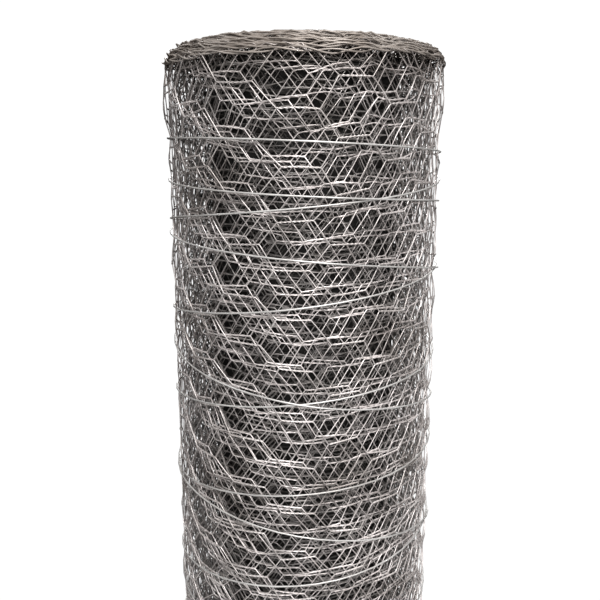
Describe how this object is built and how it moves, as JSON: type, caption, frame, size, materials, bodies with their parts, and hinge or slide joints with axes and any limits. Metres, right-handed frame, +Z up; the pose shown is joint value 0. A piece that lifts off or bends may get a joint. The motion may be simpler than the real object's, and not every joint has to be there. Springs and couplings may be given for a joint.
{
  "type": "roll of chicken wire",
  "caption": "Upright roll of hexagonal wire netting with an open middle, held closed by a thin wire wound round it.",
  "frame": {"origin": "centre of the lower end, on the roll's axis, in the plane that the roll stands on", "axes": "+Z up along the roll's axis, -Y towards the front that the binding wire's highest wrap passes, +X to the right of it"},
  "size_m": [0.1586, 0.1592, 0.6212],
  "materials": {
    "netting": "dull galvanised wire",
    "binding": "bright galvanised wire"
  },
  "bodies": {
    "root": {"netting_roll": "netting", "binding_wire": "binding"}
  },
  "joints": []
}
